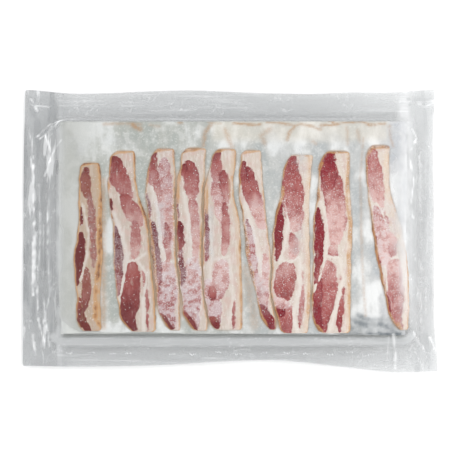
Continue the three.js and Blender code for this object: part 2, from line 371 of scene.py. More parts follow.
def lower_rasher_places():
    """The middle of every rasher of the lower layers, a little out of line with the next."""
    draw = np.random.default_rng(7)
    places = []
    middle_y = (sheet_low[1] + sheet_high[1]) / 2
    pitch = (sheet_high[0] - sheet_low[0] - 2 * LAYER_INSET) / RASHERS_ACROSS
    for layer in range(LAYERS):
        for index in range(RASHERS_ACROSS):
            x = sheet_low[0] + LAYER_INSET + pitch * (index + 0.5)
            x += draw.uniform(-RASHER_WANDER_X, RASHER_WANDER_X)
            y = middle_y + draw.uniform(-RASHER_WANDER_Y, RASHER_WANDER_Y)
            places.append((x, y, LAYER_START + layer_pitch * (layer + MEAT_IN_LAYER)))
    return places


fatty = Recipe("rasher_ends")
bands = fatty.noise(14, 2, (1, 0.05, 0.4))
flecks = fatty.noise(3, 3)
end_tone = fatty.mix(fatty.ramp(bands, 0.48, 0.56), shade(236, 222, 208), shade(188, 110, 102))
end_tone = fatty.mix(fatty.ramp(flecks, 0.4, 0.8, 0, 0.5), end_tone, shade(238, 232, 226))
lower_size = (RASHER_WIDTH, RASHER_LENGTH, layer_pitch * MEAT_DEPTH)
lower_rashers = scattered("lower_rashers", lower_rasher_places(), lower_size,
                          fatty.coated(end_tone, 0.45, fatty.bump(flecks, 0.3)),
                          turn=0.02, least=0.97, seed=3, wave=1.2)
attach(lower_rashers, "root")
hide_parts("bag")

# The top parchment sheet
# Greaseproof paper, damp and half clear, pressed into fine creases by the film. The ends of the
# layer below show through it along the far edge as blurred golden outlines.
SHEET_STEP = 1.9
SHEET_THICKNESS = 0.35
SHEET_UNDER_SKIN = 0.42
CUT_CORNER = 26.0
SHEET_EASE = 1.2
sheet_level = eased(mended(level_map(["liner_sheet"])), SHEET_EASE)


def edge_at(node, axis, places):
    """The lowest and highest reach of a solid, cut across at each place along an axis."""
    triangles = corners(node)
    start = triangles.reshape(-1, 3)
    end = triangles[:, (1, 2, 0)].reshape(-1, 3)
    low, high = [], []
    for place in places:
        crosses = (start[:, axis] - place) * (end[:, axis] - place) < 0
        a, b = start[crosses], end[crosses]
        t = (place - a[:, axis]) / (b[:, axis] - a[:, axis])
        other = a[:, 1 - axis] + t * (b[:, 1 - axis] - a[:, 1 - axis])
        low.append(other.min())
        high.append(other.max())
    return np.array(low), np.array(high)


def fitted_grid(node, cell, corner):
    """A grid of places over a solid's own outline, rows running from near to far."""
    low, high = (np.array(end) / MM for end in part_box(node))
    columns = int((high[0] - low[0]) / cell)
    rows = int((high[1] - low[1]) / cell)
    u = np.linspace(0, 1, columns)
    v = np.linspace(0, 1, rows)
    x_line = np.clip(low[0] + (high[0] - low[0]) * u, low[0] + corner, high[0] - corner)
    near, far = edge_at(node, 0, x_line)
    inner = np.array([0.4, -0.4])
    left_y = np.clip(near[0] + (far[0] - near[0]) * v, *(near[0], far[0]) + inner)
    right_y = np.clip(near[-1] + (far[-1] - near[-1]) * v, *(near[-1], far[-1]) + inner)
    left = edge_at(node, 1, left_y)[0]
    right = edge_at(node, 1, right_y)[1]
    x = left[:, None] + (right - left)[:, None] * u
    y = near[None, :] + (far - near)[None, :] * v[:, None]
    return x, y


def paint(piece, layer, *channels):
    """Stores up to three values at each point, which the piece's material reads by name."""
    values = np.zeros((len(piece.data.vertices), 4), np.float32)
    for k, channel in enumerate(channels):
        values[: channel.size, k] = channel.ravel()
    attribute = piece.data.color_attributes.new(layer, "FLOAT_COLOR", "POINT")
    attribute.data.foreach_set("color", values.ravel())


def stroke_field(x, y, strokes, ragged, spread=1.0):
    """How strongly each place lies on any of some strokes: strength, half width and course."""
    total = np.zeros_like(x)
    for number, (strength, width, course) in enumerate(strokes):
        away = np.full_like(x, 1e3)
        for (x0, y0), (x1, y1) in zip(course[:-1], course[1:]):
            t = ((x - x0) * (x1 - x0) + (y - y0) * (y1 - y0)) / ((x1 - x0) ** 2 + (y1 - y0) ** 2)
            t = np.clip(t, 0, 1)
            away = np.minimum(away, np.hypot(x - x0 - t * (x1 - x0), y - y0 - t * (y1 - y0)))
        away = away + ragged * grain(x, y, 5, number + 300)
        total = np.maximum(total, strength * np.exp(-np.maximum(away, 0) ** 2 / (spread * width) ** 2))
    return total


# The golden outlines of the rashers of the next layer, as they show through the sheet. Each is how
# strong, how wide and its course in millimetres from the middle of the sheet. The last two lay brown
# on the paper itself: painted shadow beside the first rasher, and a tint between the fifth and sixth.
golden_strokes = [
    (0.45, 2.2, [(-158, 130), (-136, 130.7), (-122, 130.7), (-113, 129.4)]),
    (0.8, 3.0, [(-123, 130), (-119, 126.3), (-114, 123.8)]), (0.3, 2.0, [(-102, 128.8), (-90, 126.9)]),
    (0.6, 1.6, [(-67, 131.9), (-62, 131.3)]),
    (0.6, 2.6, [(-36, 102.7), (-35, 112.6), (-33, 121.3), (-26, 130.7)]),
    (0.45, 1.4, [(-30, 131.9), (-15, 130.7)]), (0.5, 3.0, [(-9, 122.6), (-5, 110.2), (-1, 101.5)]),
    (0.9, 1.6, [(1, 131), (13, 130.2), (28, 128.9), (34, 129.4)]),
    (0.45, 3.4, [(45, 123.2), (35, 115.5), (39, 106.4)]),
    (0.7, 1.5, [(41, 132.5), (53, 131.8), (70, 129.4), (77, 127.9)]),
    (0.65, 2.0, [(67, 110.2), (69, 118.9), (77, 127.9), (84, 130), (95, 127.9), (108, 123.2)]),
    (0.4, 2.0, [(98, 108.4), (102, 105.2)]), (1.0, 1.3, [(118, 133.5), (124, 132.9)]),
    (0.8, 1.6, [(108, 127.9), (122, 128.8), (137, 132.1), (159, 133.5), (168, 128.8)]),
    (0.7, 1.6, [(165, 129.4), (175, 129.4), (186, 130.2)]), (0.35, 2.0, [(140, 125.1), (141, 104.6)]),
    (0.3, 2.4, [(153, 121.7), (156, 107.7)]), (0.5, 1.8, [(192, 127.9), (193, 113.9), (197, 101.5)]),
    (0.35, 1.6, [(160, 112), (156, 60), (158, -40), (162, -110)]),
    (0.5, 3.4, [(-158, 60), (-158, -124)]), (0.35, 6.0, [(16, -50), (22, -90), (27, -122)]),
]
# The shaded creases of the crumpled near right corner, given the same way.
crease_strokes = [
    (0.6, 4.0, [(132, -132), (146, -125), (158, -115)]),
    (0.8, 4.4, [(143, -127), (160, -120), (171, -130)]),
    (0.8, 4.2, [(153, -110), (180, -122), (203, -132)]),
    (1, 4.2, [(163, -131), (184, -133), (204, -133)]), (0.6, 4.0, [(183, -114), (200, -127)]),
    (0.6, 1.8, [(125, -131), (138, -132)]), (0.85, 7.0, [(150, -119), (188, -122)]),
]
# Where the pale ends of the next layer show, where the corner crumples, where the near left corner
# is greyer and where painted shade darkens the left end, all from the middle of the sheet but for
# the depth of the ends.
ENDS_FROM_X = -31
ENDS_TO_X = 194
ENDS_SHOW = 32
WIDE_CREASE = 0.3
FINE_CREASE = 0.2
CRUMPLE_DEPTH = 0.8
CRUMPLE_X = (128, 146)
CRUMPLE_Y = (-108, -116)
GREY_CORNER_X = (-192, -204)
GREY_CORNER_Y = (-106, -124)
LEFT_END_X = (-150, -205)
# How dark the crumple's painted shade is away from its creases, and how far under the film the
# paper beside a rasher lies where the tent's painted shade is darkest.
CRUMPLE_SHADE = 0.58
TENT_FULL = 1.7


def top_sheet():
    """The sheet's plate, with creases, a crumple, what shows through it and painted light and shade."""
    x, y = fitted_grid("liner_sheet", SHEET_STEP, CUT_CORNER)
    level = np.minimum(read_map(sheet_level, x, y), read_map(skin, x, y) - SHEET_UNDER_SKIN)
    creases = WIDE_CREASE * np.abs(grain(x, y, 13, 5))
    creases = creases + FINE_CREASE * np.abs(grain(x + y, x - y, 7, 6))
    u, v = x - mid_x, y - mid_y
    crumple = step(*CRUMPLE_X, u) * step(*CRUMPLE_Y, v)
    top = level - creases - CRUMPLE_DEPTH * crumple * np.abs(grain(u * 0.7, v, 9, 8))
    underside = np.minimum(sheet_low[2] + 0.05, top - SHEET_THICKNESS)
    piece = mesh_piece("top_sheet", *plate(x, y, top, underside))
    gold = stroke_field(u, v, golden_strokes, 0.7)
    cream = step(ENDS_FROM_X, ENDS_FROM_X + 12, u) * step(ENDS_TO_X, ENDS_TO_X - 8, u)
    cream = cream * step(sheet_high[1] - ENDS_SHOW, sheet_high[1] - ENDS_SHOW + 14, y)
    # Painted shade in the creases of the crumpled corner, and a lighter shade over the rest of it.
    crease_shade = np.maximum(stroke_field(u, v, crease_strokes, 1.2), CRUMPLE_SHADE * crumple)
    paint(piece, "ends", gold, cream, crease_shade)
    # Painted light: the paper is drawn lighter towards the right, as if lit from that side.
    side = 0.5 * step(-120, 130, u) + 0.5 * step(150, 205, u)
    corner = step(*GREY_CORNER_X, u) * step(*GREY_CORNER_Y, v)
    paint(piece, "place", side, corner, step(*LEFT_END_X, u))
    # Painted shade where the film tents up beside a rasher and the paper lies below it.
    paint(piece, "tent_shade", step(0.5, TENT_FULL, read_map(skin, x, y) - level))
    return piece


sheet = top_sheet()
paper = Recipe("parchment")
gold, cream, crease_shade = paper.layer("ends")
side, corner, shaded_left_end = paper.layer("place")
tent_shade = paper.layer("tent_shade")[0]
marble = paper.noise(11, 5)
fine = paper.noise(2.6, 3)
folds = paper.noise(26, 4, (1, 0.55, 1))
# Painted light and shade: the paper's tone and its lit and shaded copies are lighter to the right, and
# its broad folds are painted lit and shaded as well as bumped.
tone = paper.mix(side, shade(172, 174, 168), shade(208, 208, 210))
lit = paper.mix(side, shade(212, 214, 213), shade(244, 244, 244))
shaded = paper.mix(side, shade(160, 165, 160), shade(180, 184, 190))
tone = paper.mix(paper.ramp(folds, 0.47, 0.62, 0, 0.95), tone, lit)
tone = paper.mix(paper.ramp(folds, 0.5, 0.38, 0, 0.85), tone, shaded)
tone = paper.mix(paper.ramp(marble, 0.5, 0.66, 0, 0.3), tone, shade(226, 226, 224))
tone = paper.mix(paper.ramp(fine, 0.54, 0.68, 0, 0.3), tone, shade(234, 234, 232))
tone = paper.mix(paper.times(cream, 0.45), tone, shade(222, 214, 199))
# Painted shade: the left end of the paper is drawn darker.
tone = paper.mix(paper.times(shaded_left_end, 0.75), tone, shade(178, 179, 175))
tone = paper.mix(corner, tone, shade(184, 185, 183))
# Painted shade in the crumpled corner, patchy.
crease_shade_share = paper.times(crease_shade, paper.ramp(marble, 0.4, 0.58, 1.0, 0.7))
tone = paper.mix(crease_shade_share, tone, shade(100, 108, 114))
# Golden outlines showing through, and brown painted shadow beside the first rasher.
gold_show_through_and_shade = paper.times(gold, paper.ramp(fine, 0.32, 0.56, 0.45, 1.0))
# Painted shade beside the rashers, warmed to brown.
tone = paper.mix(paper.times(tent_shade, 0.85), tone, shade(166, 136, 104))
tone = paper.mix(gold_show_through_and_shade, tone, shade(170, 126, 80))
relief = paper.bump(folds, 7.0)
sheet.data.materials.append(paper.coated(tone, 0.5, paper.bump(fine, 0.25, relief)))
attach(sheet, "root")
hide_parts("liner_sheet")

# The rashers
# Nine slices of cured belly: pale fat with pink and red lean along it, a dark thin muscle on the
# left, a long pointed one at the near end, and an aged golden rind. Frost dulls the middle ones.
RASHER_STEP = 0.9
RASHER_COLUMNS = 44
RASHER_UNDER_SKIN = 0.3
LEAN_SINK = 0.25
FIBRE_RELIEF = 0.15
EDGE_DROP = 0.6
EDGE_ROUND = 0.9
LEFT_GAP = 0.6
RIGHT_GAP = 0.5
EDGE_SOFTEN = 4
MUSCLE_WAVY = 1.3
MUSCLE_RAGGED = 0.8
FIELD_REACH = 4.0
SEAM_CUT = 5.0
RIM_PLACE = 0.6
RIM_WIDTH = 1.3
LEFT_BROWN = 1.7
RIGHT_BROWN = 2
BROWN_SPREAD = 1.35
# A muscle that starts in the upper part gets paler and more frosted towards its tail, and a
# lower one gets deeper.
UPPER_MUSCLES = 100
TONE_DRIFT = 0.5
TAIL_FROST = 0.16

# How deep in colour, how frosted and how brown each kind of lean is.
tones = {
    "pale": (0.15, 0.15, 0.5), "dull": (0.55, 0.05, 0.9), "dark": (1.0, 0.0, 0.0),
    "red": (0.52, 0.0, 0.05), "ripe": (0.7, 0.0, 0.1), "deep": (0.82, 0.0, 0.0),
    "brick": (0.82, 0.0, 0.5), "vivid": (0.5, 0.0, 0.12), "pink": (0.36, 0.05, 0.05),
    "rosy": (0.2, 0.1, 0.05), "veil": (0.2, 0.32, 0.0), "frost": (0.4, 0.6, 0.0),
    "lilac": (0.5, 0.5, 0.0), "purple": (0.86, 0.22, 0.0),
}

# The muscles of each rasher: its kind, where it starts and ends along the rasher from the far end,
# how far across it lies at its start, middle and end as a share of the width, and its half width.
anatomy = [
    [
        ("dull", 6, 48, 0.28, 0.3, 0.43, 6.7), ("pale", 36, 133, 0.43, 0.61, 0.72, 4.9),
        ("dark", 54, 80, 0.08, 0.1, 0.11, 2.9), ("dark", 87, 155, 0.14, 0.2, 0.06, 6.8),
        ("dull", 131, 188, 0.41, 0.41, 0.31, 5.6), ("brick", 169, 213, 0.08, 0.1, 0.35, 7.3),
    ],
    [
        ("red", 7, 62, 0.1, 0.4, 0.64, 13), ("pink", 55, 97, 0.52, 0.64, 0.72, 11.5),
        ("rosy", 88, 139, 0.64, 0.63, 0.55, 6.7), ("dark", 60, 88, 0.03, 0.03, 0.03, 2.4),
        ("purple", 92, 185, 0.07, 0.13, 0.05, 7.1), ("ripe", 138, 226, 0.5, 0.34, 0.1, 12.8),
        ("pink", 142, 227, 0.75, 0.78, 0.68, 3.4),
    ],
    [
        ("veil", 11, 132, 0.56, 0.65, 0.65, 10.9), ("frost", 138, 226, 0.6, 0.42, 0.2, 13.4),
        ("red", 4, 61, 0.08, 0.18, 0.47, 7.5), ("purple", 56, 92, 0.07, 0.05, 0.05, 2.9),
        ("purple", 92, 180, 0.16, 0.15, 0.05, 7.3), ("pink", 93, 143, 0.66, 0.7, 0.63, 4.9),
        ("brick", 206, 227, 0.02, 0.1, 0.2, 5.5),
    ],
    [
        ("rosy", 60, 144, 0.6, 0.73, 0.76, 7.3), ("frost", 137, 227, 0.65, 0.44, 0.15, 13.4),
        ("red", 16, 66, 0.3, 0.51, 0.64, 10.3), ("ripe", 20, 36, 0.14, 0.15, 0.18, 3.8),
        ("purple", 63, 93, 0.03, 0.03, 0.03, 2.7), ("purple", 114, 174, 0.09, 0.11, 0.08, 5.1),
        ("deep", 92, 129, 0.11, 0.13, 0.11, 6.3), ("brick", 205, 229, 0.05, 0.1, 0.15, 4.9),
    ],
    [
        ("veil", 39, 98, 0.33, 0.5, 0.53, 8.5), ("veil", 138, 190, 0.49, 0.44, 0.33, 10.9),
        ("frost", 163, 222, 0.14, 0.16, 0.12, 12.2), ("red", 2, 44, 0.16, 0.22, 0.43, 7.6),
        ("red", 27, 70, 0.53, 0.72, 0.74, 6.3), ("pink", 68, 137, 0.65, 0.61, 0.57, 6.1),
        ("purple", 76, 143, 0.06, 0.11, 0.08, 4.6), ("red", 172, 190, 0.2, 0.22, 0.19, 5.5),
        ("brick", 210, 226, 0.1, 0.12, 0.12, 6.1), ("pink", 178, 226, 0.74, 0.74, 0.7, 3.6),
    ],
    [
        ("veil", 130, 208, 0.76, 0.59, 0.2, 7.9), ("red", 21, 98, 0.34, 0.54, 0.78, 10.9),
        ("rosy", 52, 100, 0.56, 0.68, 0.78, 10),
        ("ripe", 14, 56, 0.1, 0.2, 0.4, 6.6), ("lilac", 86, 171, 0.2, 0.25, 0.16, 6.7),
        ("dark", 193, 227, 0.2, 0.4, 0.8, 8.5),
    ],
    [
        ("red", 1, 98, 0.1, 0.42, 0.66, 13.4), ("dark", 60, 135, 0.06, 0.16, 0.13, 6.1),
        ("rosy", 70, 98, 0.52, 0.58, 0.62, 9), ("rosy", 98, 135, 0.52, 0.58, 0.55, 6.1),
        ("vivid", 134, 184, 0.37, 0.36, 0.3, 14),
        ("red", 185, 224, 0.29, 0.22, 0.14, 13.4), ("dark", 186, 204, 0.08, 0.08, 0.06, 8.5),
        ("veil", 179, 194, 0.13, 0.2, 0.28, 10.9), ("pink", 138, 224, 0.74, 0.78, 0.65, 3.9),
    ],
    [
        ("red", 1, 119, 0.14, 0.52, 0.57, 14.0), ("rosy", 42, 119, 0.48, 0.55, 0.57, 12.5),
        ("deep", 1, 50, 0.22, 0.3, 0.38, 10.5),
        ("pink", 115, 137, 0.52, 0.52, 0.5, 7.3), ("dark", 71, 161, 0.06, 0.17, 0.06, 6.1),
        ("red", 137, 227, 0.37, 0.35, 0.1, 14.0), ("deep", 148, 224, 0.12, 0.14, 0.08, 6.6),
        ("red", 147, 227, 0.79, 0.76, 0.66, 4.6),
    ],
    [
        ("veil", 75, 161, 0.33, 0.34, 0.35, 10.9), ("pink", 4, 80, 0.18, 0.37, 0.41, 10.3),
        ("rosy", 110, 142, 0.6, 0.6, 0.53, 5.5), ("pink", 140, 232, 0.57, 0.4, 0.1, 11.5),
        ("dark", 98, 180, 0.02, 0.02, 0.02, 2.6), ("dark", 187, 219, 0.04, 0.04, 0.04, 3.0),
    ],
]

# How golden the whole of each rasher has aged, how much frost lies on it, how wide its rind is,
# and how strongly its left edge, its right edge and its far end have browned.
ageing = [0.55, 0.12, 0.08, 0.06, 0.06, 0.04, 0.06, 0.06, 0.04]
frosting = [0.03, 0.08, 0.24, 0.2, 0.15, 0.2, 0.14, 0.08, 0.26]
rind_width = [9, 4, 3, 3, 8, 2, 7, 7, 9]
browned = [
    (0.7, 1.0, 0.5), (0.75, 0.95, 0.7), (0.55, 0.7, 0.8), (0.65, 0.6, 0.8), (0.65, 0.7, 0.9),
    (0.95, 0.45, 0.6), (0.9, 0.5, 0.6), (0.8, 0.8, 0.9), (1.05, 0.45, 0.9),
]


# Browned outlines and white seams of fat, each with its strength, half width and course in
# millimetres from the middle of the top sheet.
browned_strokes = [
    (0.95, 2.6, [(-161, 82), (-160, 48), (-163, -20), (-162, -41), (-167, -79), (-167, -114),
                 (-156, -130)]), (0.6, 1.6, [(-190, 53), (-188, 23)]),
    (0.8, 1.8, [(-185, 79), (-164, 83)]), (0.7, 1.6, [(-156, 63), (-152, 53), (-155, 36)]),
    (0.95, 2.2, [(-113, 32), (-104, 8), (-99, -27), (-95, -76), (-93, -127)]),
    (0.7, 1.6, [(-146, 92), (-122, 96)]), (0.5, 1.6, [(-104, 70), (-107, 48)]),
    (0.8, 1.7, [(-72, 95), (-70, 67), (-71, 31)]), (0.75, 1.6, [(-99, 95), (-73, 99)]),
    (0.6, 1.6, [(-90, -111), (-78, -127)]), (0.8, 1.6, [(-61, 95), (-34, 99)]),
    (0.6, 1.6, [(-33, 95), (-33, 54)]), (0.5, 1.5, [(-65, 70), (-67, 31)]),
    (0.8, 1.6, [(-20, 96), (5, 99)]), (0.5, 1.6, [(5, 94), (5, 70)]), (0.7, 1.6, [(9, 16), (11, -126)]),
    (0.4, 1.5, [(-31, 60), (-32, 17)]),
    (0.9, 1.7, [(0, 63), (5, 42), (11, 13), (17, -20), (24, -64), (31, -104), (43, -126)]),
    (0.6, 1.5, [(13, 93), (31, 96)]), (0.65, 1.5, [(65, 83), (59, 67), (62, 42), (53, 17)]),
    (0.6, 1.6, [(71, 90), (93, 90)]), (0.5, 1.6, [(93, 88), (96, 53)]),
    (0.4, 1.5, [(95, -8), (91, -126)]), (0.75, 1.5, [(109, 80), (103, 67), (105, 38), (97, 16)]),
    (0.85, 1.6, [(122, 95), (143, 95)]),
    (0.6, 1.8, [(143, 92), (139, 36), (144, 3), (141, -27), (143, -126)]),
    (0.9, 2.2, [(102, -125), (107, -130)]), (0.9, 1.7, [(174, 100), (193, 101)]),
    (0.9, 1.6, [(169, 98), (161, 79), (164, 41), (170, 5), (177, -39), (184, -74), (189, -104),
                (201, -127)]), (0.4, 1.8, [(205, 18), (211, -14)]),
    (0.9, 2.4, [(201, -121), (204, -128)]),
]
pale_strokes = [
    (0.8, 1.6, [(-184, 29), (-176, -8), (-178, -35), (-186, -66)]),
    (0.9, 2.6, [(-146, 18), (-136, -8), (-129, -34), (-132, -58), (-139, -91)]),
    (0.9, 1.8, [(-128, -43), (-117, -41), (-107, -33)]),
    (0.8, 1.6, [(-116, -43), (-105, -58), (-109, -89)]), (1, 2.8, [(-109, -89), (-109, -130)]),
    (0.9, 3, [(-99, 50), (-90, 17), (-88, -20), (-83, -41)]),
    (0.7, 2, [(-66, -41), (-78, -44), (-88, -37)]),
    (0.9, 2.6, [(-60, 42), (-55, 11), (-51, -20), (-56, -79)]),
    (1, 1.9, [(-28, 8), (-25, -33), (-30, -79)]), (0.8, 2.2, [(-4, -41), (1, -86), (-6, -127)]),
    (0.8, 2, [(-25, -41), (-5, -37)]), (0.9, 3.4, [(15, 31), (26, -8), (34, -46), (37, -91)]),
    (0.9, 1.8, [(64, 36), (68, 5), (63, -27), (58, -41)]), (0.9, 2, [(58, -41), (70, -44), (82, -37)]),
    (1, 2.8, [(82, -39), (82, -76), (74, -111), (79, -130)]),
    (0.9, 2, [(108, 32), (116, 5), (115, -27), (109, -58), (99, -79)]),
    (0.9, 2, [(115, -37), (133, -39)]), (1, 2.6, [(131, -41), (135, -64), (129, -91), (118, -130)]),
    (0.9, 2, [(176, 31), (187, 5), (189, -29), (193, -40), (203, -37)]),
    (0.8, 1.6, [(186, -41), (189, -79)]),
]


def muscle(x, along, left, width, shape, seed):
    """How far inside a muscle each place lies, and how far along it. Its outline is ragged."""
    start, end, first, middle, last, girth = shape
    t = np.clip((along - start) / (end - start), 0, 1)
    share = first * (1 - t) * (1 - 2 * t) + 4 * middle * t * (1 - t) + last * t * (2 * t - 1)
    half = girth * np.sqrt(4 * t * (1 - t)) ** 0.8
    ragged = MUSCLE_WAVY * grain(x, along, 9, seed) + MUSCLE_RAGGED * grain(x, along, 3.2, seed + 1)
    inside = half - np.abs(x - left - share * width) + ragged * np.minimum(1, girth / 5)
    return np.where(half > 0.1, inside, -FIELD_REACH), t


def lean_of(index, x, along, left, width):
    """How far inside the lean each place lies, and how deep, frosted, brown and rimmed it is."""
    field = np.full_like(x, -FIELD_REACH)
    depth, frost, brown, rims = (np.zeros_like(x) for _ in range(4))
    for k, (kind, *shape) in enumerate(anatomy[index]):
        inside, course = muscle(x, along, left, width, shape, 200 + index * 20 + k * 2)
        amount = step(-1.2, 1.2, inside)
        deep, cold, rust = tones[kind]
        upper = shape[0] < UPPER_MUSCLES
        deep = deep + TONE_DRIFT * (0.5 - course) * (1 if upper else -1)
        cold = cold + TAIL_FROST * course ** 2 * upper * (kind == "red")
        field = np.maximum(field, inside)
        depth = depth * (1 - amount) + deep * amount
        frost = frost * (1 - amount) + cold * amount
        brown = brown * (1 - amount) + rust * amount
        at_rim = np.exp(-((inside - RIM_PLACE) / RIM_WIDTH) ** 2)
        rims = rims * (1 - amount) + amount * deep * at_rim
    return field, depth, frost, brown, rims


def browning(index, x, y, left, right, far):
    """How golden brown each place is, by the edges and along the drawn outlines."""
    left_gold, right_gold, far_gold = browned[index]
    gold = left_gold * np.exp(-(((x - left) / LEFT_BROWN) ** 2))
    gold = gold + right_gold * np.exp(-(((right - x) / RIGHT_BROWN) ** 2))
    gold = np.maximum(gold, far_gold * np.exp(-((far - y) / RIGHT_BROWN) ** 2))
    uneven = 0.8 + 0.5 * grain(x, y, 16, index + 40) + 0.35 * grain(x, y, 5, index + 50)
    strokes = stroke_field(x - mid_x, y - mid_y, browned_strokes, 0.5, BROWN_SPREAD)
    return np.clip(uneven, 0, 1.4) * np.maximum(0.8 * gold, strokes)


def rasher(index, node):
    """A rasher's plate, cut to its solid's outline, with its fat, lean and rind painted on."""
    low, high = (np.array(corner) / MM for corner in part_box(node))
    places = np.arange(low[1] + 0.3, high[1] - 0.2, RASHER_STEP)
    left, right = edge_at(node, 1, places)
    soften = np.hanning(2 * EDGE_SOFTEN + 1)
    for edge in (left, right):
        edge[EDGE_SOFTEN:-EDGE_SOFTEN] = np.convolve(edge, soften / soften.sum(), "valid")
    shares, y = np.meshgrid(np.linspace(0, 1, RASHER_COLUMNS), places)
    wobble = [grain(np.full_like(places, index * 50), places, size, 9) for size in (11, 4)]
    left = (left + LEFT_GAP + 0.5 * wobble[0] + 0.4 * wobble[1])[:, None]
    right = (right - RIGHT_GAP + 0.5 * wobble[1] - 0.3 * wobble[0])[:, None]
    width = right - left
    x = left + width * shares
    along = high[1] - y
    ends = np.minimum(y - places[0], places[-1] - y)
    inset = np.minimum.reduce([x - left, right - x, ends])
    field, depth, frost, brown, rims = lean_of(index, x, along, left, width)
    field = np.minimum(field, inset * 1.2 + 0.6)
    depth = np.clip(depth + 0.16 * rims + 0.12 * grain(x, y, 8, index + 90), 0, 1)
    thin = 0.6 + 0.4 * grain(x, y, 12, index + 30)
    gold = browning(index, x, y, left, right, places[-1])
    seams = stroke_field(x - mid_x, y - mid_y, pale_strokes, 0.8)
    field = field - SEAM_CUT * seams
    rind = step(rind_width[index], rind_width[index] * 0.4, right - x) * (0.5 + 0.5 * thin)
    lean = step(-1, 1, field)
    relief = LEAN_SINK * lean + FIBRE_RELIEF * np.abs(grain(x, y, 5, index + 70))
    level = read_map(skin, x, y) - RASHER_UNDER_SKIN - relief
    top = np.maximum(level - EDGE_DROP * np.exp(-((inset / EDGE_ROUND) ** 2)), low[2] + 0.3)
    piece = mesh_piece(f"rasher_{index + 1}", *plate(x, y, top, np.full_like(x, low[2])))
    settled = frosting[index] * (0.7 + 0.7 * grain(x, y, 17, index)) * (1 - 0.9 * depth * lean)
    frost = np.clip(frost + settled, 0, 1)
    inner = 0.5 + np.clip(field, -FIELD_REACH, FIELD_REACH) / (2 * FIELD_REACH)
    paint(piece, "meat", inner, depth, frost)
    paint(piece, "rind", gold, rind, np.clip(brown * lean + ageing[index], 0, 1))
    # The first value runs from the left of the pack to the right; with it the material paints the
    # rashers lighter towards the right, as painted light.
    paint(piece, "place", step(-190, 190, x - mid_x), np.clip(rims, 0, 1), seams)
    return piece


bacon = Recipe("streaky_bacon")
field, depth, frost = bacon.layer("meat")
gold, rind, aged = bacon.layer("rind")
side, rim, seams = bacon.layer("place")
strands = bacon.noise(2.4, 3, (1, 0.22, 1))
marbling = bacon.noise(6, 4, (1, 0.35, 1))
blotch = bacon.noise(13, 3)
patches = bacon.noise(7, 4)
mottle = bacon.noise(3.6, 3)
frost_grains = bacon.noise(1.4, 2)
ragged = bacon.ramp(mottle, 0.3, 0.7, -0.09, 0.09)
fibres = bacon.ramp(strands, 0.3, 0.7, 0.07, -0.07)
lean = bacon.ramp(bacon.plus(bacon.plus(field, ragged), fibres), 0.38, 0.66)
# Painted light: fat, lean, rind and frost veil are mixed by side, lighter on the right-hand rashers as
# if lit from the right, with the darkest lean more crimson there.
fat = bacon.mix(side, shade(186, 172, 161), shade(213, 200, 188))
fat = bacon.mix(bacon.ramp(blotch, 0.44, 0.62, 0, 0.6), fat, shade(202, 172, 164))
pale_fat = bacon.mix(side, shade(212, 206, 200), shade(226, 217, 207))
fat = bacon.mix(bacon.ramp(strands, 0.48, 0.64, 0, 0.55), fat, pale_fat)
fat = bacon.mix(bacon.times(aged, 0.95), fat, shade(166, 140, 110))
fat = bacon.mix(bacon.times(seams, 0.75), fat, pale_fat)
pink = bacon.mix(side, shade(188, 148, 141), shade(218, 176, 169))
red_lean = bacon.mix(side, shade(146, 64, 61), shade(170, 86, 83))
meat = bacon.mix(bacon.ramp(depth, 0.05, 0.55), pink, red_lean)
dark_lean = bacon.mix(side, shade(88, 2, 12), shade(136, 4, 30))
meat = bacon.mix(bacon.ramp(depth, 0.5, 0.95), meat, dark_lean)
aged_lean = bacon.times(aged, bacon.ramp(depth, 0.4, 0.95, 0.85, 0.3))
meat = bacon.mix(aged_lean, meat, shade(124, 64, 44))
strand_tone = bacon.mix(depth, shade(214, 166, 160), shade(118, 30, 40))
meat = bacon.mix(bacon.ramp(strands, 0.5, 0.7, 0, 0.4), meat, strand_tone)
patch_tone = bacon.mix(depth, shade(160, 88, 86), shade(92, 12, 26))
meat = bacon.mix(bacon.ramp(patches, 0.5, 0.36, 0, 0.35), meat, patch_tone)
meat = bacon.mix(bacon.times(rim, 0.45), meat, shade(106, 26, 34))
lean = bacon.times(lean, bacon.ramp(marbling, 0.6, 0.74, 1.0, 0.65))
meat = bacon.mix(lean, fat, meat)
rind_tone = bacon.mix(side, shade(184, 154, 120), shade(222, 198, 170))
meat = bacon.mix(bacon.times(rind, 0.6), meat, rind_tone)
meat = bacon.mix(bacon.ramp(gold, 0.06, 0.45, 0, 0.75), meat, shade(190, 142, 90))
browned_edge = bacon.mix(bacon.ramp(mottle, 0.42, 0.58), shade(120, 76, 46), shade(160, 108, 64))
meat = bacon.mix(bacon.ramp(gold, 0.4, 0.95, 0, 0.9), meat, browned_edge)
veil = bacon.times(frost, bacon.ramp(patches, 0.4, 0.58, 0.2, 1.0))
meat = bacon.mix(veil, meat, bacon.mix(side, shade(196, 187, 190), shade(220, 212, 213)))
# White specks on the meat: grains of frost where frost lies, and on the right-hand rashers painted
# glints, fewer on the darkest lean.
sparkle = bacon.times(bacon.ramp(frost_grains, 0.55, 0.63), bacon.ramp(frost, 0.02, 0.4, 0.03, 0.45))
glint_specks = bacon.times(bacon.ramp(frost_grains, 0.58, 0.65), bacon.ramp(side, 0.55, 0.8, 0.08, 0.5))
glint_specks = bacon.times(glint_specks, bacon.ramp(depth, 0.5, 0.85, 1.0, 0.25))
sparkle = bacon.add("Math", {0: sparkle, 1: glint_specks}, operation="MAXIMUM")
meat = bacon.mix(sparkle, meat, shade(232, 226, 225))
bacon_material = bacon.coated(meat, 0.45, bacon.bump(strands, 0.35), {"Specular IOR Level": 0.25})

for index, node in enumerate(rasher_nodes):
    piece = rasher(index, node)
    piece.data.materials.append(bacon_material)
    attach(piece, "root")
    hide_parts(node)

